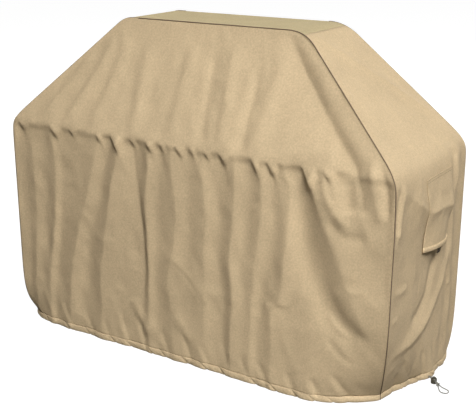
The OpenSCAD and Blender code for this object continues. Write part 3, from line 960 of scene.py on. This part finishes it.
# How far a hood stands off the wall at its top and more at its foot, how far the stay bows it out, and its
# crumples
HOOD_OFF = 0.0013
HOOD_FOOT_OFF = 0.0018
HOOD_BOW = 0.025
HOOD_CRUMPLE = 0.0016
# The lip round the stay: its middle, and its section as (outward, up)
LIP_Z = VENT_FOOT + 0.01
LIP_OUT = 0.0012
LIP_SECTION = [
    (0.003, 0), (0.0027, 0.006), (0.0008, 0.0085), (-0.0014, 0.0085), (-0.0026, 0.006),
    (-0.0028, 0), (-0.0026, -0.006), (-0.0008, -0.009), (0.0012, -0.009), (0.0027, -0.006),
]
STAY_R = 0.0015
TAPE_HALF = 0.013
TAB_HANG = 0.022
SCREEN_PITCH = 0.0034
SCREEN_WIRE_R = 0.00045
SCREEN_LAP = 0.01


def side_surface(side, y, z):
    """Points on a side panel at places (y, z) above the gathers, and the cloth's outward directions there."""
    grid = grids[side][:len(wall_z)]
    normal = outward(grid)
    column = np.clip((y * FACING[side] + HALF_D) / (2 * HALF_D), 0, 1) * (grid.shape[1] - 1)
    row = np.interp(z, wall_z, np.arange(len(wall_z)))
    c, r = np.minimum(column.astype(int), grid.shape[1] - 2), np.minimum(row.astype(int), len(wall_z) - 2)
    s, t = (column - c)[..., None], (row - r)[..., None]

    def sample(values):
        return ((values[r, c] * (1 - s) + values[r, c + 1] * s) * (1 - t)
                + (values[r + 1, c] * (1 - s) + values[r + 1, c + 1] * s) * t)

    return sample(grid), unit(sample(normal))


def hood_point(side, a, z, out=0.0):
    """Places on a hood, from -1 to 1 across it. It hangs from its top seam and bows out at its foot."""
    a, z = np.broadcast_arrays(np.asarray(a, float), np.asarray(z, float))
    drop = (VENT_TOP - z) / (VENT_TOP - VENT_FOOT)
    half = VENT_HALF_W * (1 - HOOD_NARROWING * smoothstep(drop))
    y = VENT_Y + HOOD_SWING * drop + FACING[side] * half * a
    wall, _ = side_surface(side, y, np.minimum(z, VENT_TOP))
    off = HOOD_OFF + HOOD_FOOT_OFF * smoothstep(drop * 1.1)
    bow = HOOD_BOW * (1 - a**2) * smoothstep((drop - 0.25) / 0.75)
    crumple = wander(a * VENT_HALF_W, z, 0.03, 0.045, 70 + side) * np.sin(np.pi * np.clip(drop, 0, 1))
    x = FACING[side] * (abs(wall[..., 0]) + off + bow + HOOD_CRUMPLE * crumple + out)
    return np.stack([x, wall[..., 1], z], axis=-1)


def vent_hood(side):
    name, sign = SIDES[side], FACING[side]
    grid = hood_point(side, np.linspace(-1, 1, HOOD_COLUMNS)[None, :],
                      np.linspace(VENT_FOOT, VENT_TOP + 0.006, HOOD_ROWS)[:, None])
    hood = from_grid(f"{name}_hood_cloth", grid, cloth, body=None)
    thicken(hood, CLOTH_T, 1.0)
    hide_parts(f"{name}_vent_hood")
    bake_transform(hood)


def vent_lip(side):
    """A folded binding, and the stay in it."""
    name = SIDES[side]
    section = np.array(LIP_SECTION)
    if FACING[side] < 0:
        section = (section * (-1, 1))[::-1]
    lip_line = hood_point(side, np.linspace(-1.0, 1.0, 61), LIP_Z, LIP_OUT)
    # The binding's cloth is painted slightly lighter than the hood, as painted light.
    lip = sweep(f"{name}_lip_binding", lip_line, section, hem_cloth, f"{name}_vent")
    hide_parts(f"{name}_vent_lip")
    stay_line = hood_point(side, np.linspace(-0.96, 0.96, 41), LIP_Z, LIP_OUT)
    stay = sweep(f"{name}_stay_rod", stay_line, circle(STAY_R, 8), dark_plastic, f"{name}_vent")
    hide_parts(f"{name}_vent_stay")


def vent_tape(side):
    """Hook tape: a tab behind the lip that curls in, and a patch on the side panel."""
    name = SIDES[side]
    across = np.linspace(-TAPE_HALF, TAPE_HALF, 9)
    tab_z = np.linspace(VENT_FOOT - TAB_HANG, LIP_Z, 9)[:, None]
    curl = hood_point(side, across[None, :] / VENT_HALF_W, np.full((9, 1), VENT_FOOT + 0.004), -0.0028)
    curl[..., 2] = tab_z
    curl[..., 0] -= FACING[side] * 0.004 * ((LIP_Z - tab_z) / (LIP_Z - tab_z[0])) ** 2
    tab = from_grid(f"{name}_hook_tab", curl, tape, body=f"{name}_vent")
    thicken(tab, 0.0014)
    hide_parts(f"{name}_vent_tab")
    patch_low, patch_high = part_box(f"{name}_vent_patch")
    patch_z = np.linspace(patch_low.z, patch_high.z, 9)[:, None]
    base, normal = side_surface(side, *np.broadcast_arrays(VENT_Y + FACING[side] * across[None, :], patch_z))
    patch = from_grid(f"{name}_loop_patch", base + normal * 0.0014, tape)
    thicken(patch, 0.0012)
    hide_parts(f"{name}_vent_patch")


def vent_screen(side):
    """Crossing threads behind the window, sewn down past its edges."""
    middle = (WINDOW_LOW + WINDOW_HIGH) / 2
    reach = WINDOW_HALF + SCREEN_LAP
    span = np.linspace(-reach, reach, 13)
    count = int(2 * reach / SCREEN_PITCH)
    lines = []
    for k in range(count + 1):
        t = -reach + k * 2 * reach / count
        lines.append(side_surface(side, VENT_Y + span, np.full(13, middle + t)))
        lines.append(side_surface(side, np.full(13, VENT_Y + t), middle + span))
    points, faces = [], []
    for number, (base, normal) in enumerate(lines):
        line = base - normal * (0.0026 + 0.0004 * (number % 2))
        sideways, up = frames_along(line, np.array([FACING[side], 0.0, 0.0]))
        faces += (np.array(tube_quads(len(line), 4)) + len(points)).tolist()
        for p, s, h in zip(line, sideways * SCREEN_WIRE_R, up * SCREEN_WIRE_R):
            points += [p + s, p + h, p - s, p - h]
    name = SIDES[side]
    mesh = piece(f"{name}_screen", points, faces, screen, "cover")
    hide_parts(f"{name}_vent_mesh")


def vent_stitching(side):
    """Two rows across the top of the hood, in thread painted dark as the shade of its puckers, and two along
    the lip.
    """
    name = SIDES[side]
    normal = np.tile([FACING[side], 0.0, 0.0], (45, 1))
    top_rows = [(hood_point(side, np.linspace(-1, 1, 45), z, 0.0011), normal)
                for z in (VENT_TOP + 0.003, VENT_TOP - 0.006)]
    stitches(f"{name}_hood_top_stitching", top_rows, "cover", thread_painted_dark_as_shade,
             length=0.0042, gap=0.0012, radius=0.0007)
    lip_rows = [(hood_point(side, np.linspace(-0.97, 0.97, 45), LIP_Z + rise, LIP_OUT + 0.0028), normal)
                for rise in (0.006, -0.0055)]
    stitches(f"{name}_lip_stitching", lip_rows, f"{name}_vent")


for side in FACING:
    vent_hood(side)
    vent_lip(side)
    vent_tape(side)
    vent_screen(side)
    vent_stitching(side)

# -------- the free cord, its knot and the cord lock's spring
CORD_D = 0.0035
TAIL_ANGLE = math.radians(-36.0)
GROUND = CORD_D / 2 + 0.0001
# One strand, from the hem to the loop's tip, as (along, sideways, height) in the tail's own frame
TAIL_ROUTE = [
    (-0.004, 0.002, 0.012), (0.004, 0.002, 0.012), (0.014, 0.002, 0.012), (0.024, 0.002, 0.012),
    (0.034, 0.002, 0.012), (0.044, 0.002, 0.012), (0.052, 0.002, 0.011), (0.06, 0.003, 0.009),
    (0.067, 0.004, 0.006), (0.073, 0.006, 0.0035), (0.08, 0.009, 0.0021), (0.088, 0.012, GROUND),
    (0.096, 0.0145, GROUND), (0.104, 0.0145, GROUND), (0.111, 0.011, GROUND), (0.1155, 0.0055, GROUND),
]
TAIL_TIP = (0.117, 0.0, GROUND)
# The knot's turns: how wide, and how far along the cord
KNOT_WIDE = 0.0026 * 0.8
KNOT_LONG = 0.0032
SPRING_WIRE = 0.0008
SPRING_TURNS = 3
# How far inside the cloth the drawcord runs in its casing
CASING_MIDDLE = 0.0045


def turned(ahead, aside, up, origin=(0.0, 0.0)):
    """Points from the tail's own directions to the cover's."""
    c, s = math.cos(TAIL_ANGLE), math.sin(TAIL_ANGLE)
    return np.stack([origin[0] + ahead * c - aside * s, origin[1] + ahead * s + aside * c, up], axis=1)


tail_route = spline(TAIL_ROUTE + [TAIL_TIP] + [(a, -b, h) for a, b, h in TAIL_ROUTE[::-1]], 6)
tail_path = turned(*tail_route.T, origin=EXIT)
tail = sweep("drawcord_tail", tail_path, circle(CORD_D / 2, 12), cord_braid, "cover")
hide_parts("cord_tail")

# The knot: both strands tied together, as a trefoil turn
turn = np.linspace(0, 2 * math.pi, 97)[:-1]
knot_low, knot_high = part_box("cord_knot")
knot_path = turned(-KNOT_LONG * np.sin(3 * turn), KNOT_WIDE * (np.sin(turn) + 2 * np.sin(2 * turn)),
                   KNOT_WIDE * (np.cos(turn) - 2 * np.cos(2 * turn)))
knot_path += (knot_low + knot_high) / 2
knot = sweep("drawcord_knot", knot_path, circle(CORD_D / 2 * 0.92, 10), cord_braid, "cover",
             closed=True)
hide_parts("cord_knot")

# The spring under the lock's button, which presses it flat
spring_low, spring_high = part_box("cord_lock_spring")
spring_middle = (spring_low + spring_high) / 2
coil_r = (spring_high.x - spring_low.x - SPRING_WIRE) / 2
coil_turn = np.linspace(0, 2 * math.pi * SPRING_TURNS, 24 * SPRING_TURNS + 1)
coil_rise = np.linspace(spring_low.z + SPRING_WIRE / 2, spring_high.z - SPRING_WIRE / 2, len(coil_turn))
coil = np.stack([spring_middle.x + coil_r * np.cos(coil_turn), spring_middle.y + coil_r * np.sin(coil_turn),
                 coil_rise], axis=1)
spring = sweep("lock_spring_coil", coil, circle(SPRING_WIRE / 2, 10), spring_steel, "cord_lock")
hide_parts("cord_lock_spring")
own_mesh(spring)

# The drawcord in the casing: all the way round, from the exit back to the exit
hem_round = np.vstack([grids[k][0, :-1:4] for k in range(4)])
hem_round[:, 2] = EXIT_Z
hem_round += inward(hem_round, closed=True) * CASING_MIDDLE
first = int(np.argmin(np.linalg.norm(hem_round[:, :2] - EXIT, axis=1)))
hem_round = np.roll(hem_round, -first - 1, axis=0)[:-1]
drawcord = sweep("hem_drawcord_run", hem_round, circle(CORD_D / 2, 8), cord_braid, "cover")
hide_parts("hem_drawcord")

# -------- CAD pieces that stay
for node, material in (("cord_lock_body", lock_plastic), ("cord_lock_button", button_plastic)):
    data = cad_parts[node].data
    if not data.materials:
        data.materials.append(material)
    for place in range(len(data.materials)):
        data.materials[place] = material


# -------- stage and light
def glowing(name, colour, glow):
    s = Shading(name, colour, 0.9, Emission_Strength=glow)
    s.shader.inputs["Emission Color"].default_value = (1.0, 1.0, 1.0, 1.0)
    return s.material


def stage_piece(name, make, material):
    """A piece of the studio, which is seen but throws no light on the object."""
    make()
    made = bpy.context.object
    made.name = name
    made.data.materials.append(material)
    made.visible_diffuse = False
    made.visible_glossy = False
    made.visible_shadow = False


stage_piece("floor", lambda: bpy.ops.mesh.primitive_plane_add(size=60),
            glowing("floor", (0.12, 0.12, 0.12), 0.97))
stage_piece("backdrop", lambda: bpy.ops.mesh.primitive_uv_sphere_add(radius=28, segments=64, ring_count=32),
            glowing("backdrop", (0.0, 0.0, 0.0), 0.95))


def lamp(name, place, target, size, power, gloss=True):
    """A square lamp that the camera doesn't see. Without gloss it makes no highlights."""
    data = bpy.data.lights.new(name, "AREA")
    data.size = size
    data.energy = power
    made = bpy.data.objects.new(name, data)
    made.location = place
    made.rotation_euler = (Vector(target) - Vector(place)).to_track_quat("-Z", "Y").to_euler()
    made.visible_camera = False
    made.visible_glossy = gloss
    bpy.context.scene.collection.objects.link(made)


lamp("key", (5.9, -5.2, 8.4), (0, 0, 0.6), 4.2, 1540)
lamp("left", (-8.0, 3.2, 2.6), (0, 0, 0.6), 3.5, 560, gloss=False)
lamp("rear", (0.5, 8.0, 2.6), (0, 0, 0.6), 3.5, 560, gloss=False)
lamp("floor_bounce", (1.3, -1.9, 0.1), (0.6, -0.3, 0.05), 1.6, 9, gloss=False)
world = bpy.data.worlds.new("world")
world.use_nodes = True
background = world.node_tree.nodes["Background"]
background.inputs["Color"].default_value = (1.0, 0.9, 0.72, 1.0)
# Dim above, and brighter below, as over a pale floor
sky = world.node_tree.nodes.new("ShaderNodeTexCoord")
height = world.node_tree.nodes.new("ShaderNodeSeparateXYZ")
shift = world.node_tree.nodes.new("ShaderNodeMapRange")
world.node_tree.links.new(sky.outputs["Generated"], height.inputs["Vector"])
world.node_tree.links.new(height.outputs["Z"], shift.inputs["Value"])
world.node_tree.links.new(shift.outputs["Result"], background.inputs["Strength"])
for socket, amount in (("From Min", -0.3), ("From Max", 0.3), ("To Min", 0.115), ("To Max", 0.012)):
    shift.inputs[socket].default_value = amount
bpy.context.scene.world = world
bpy.context.scene.view_settings.view_transform = "Standard"
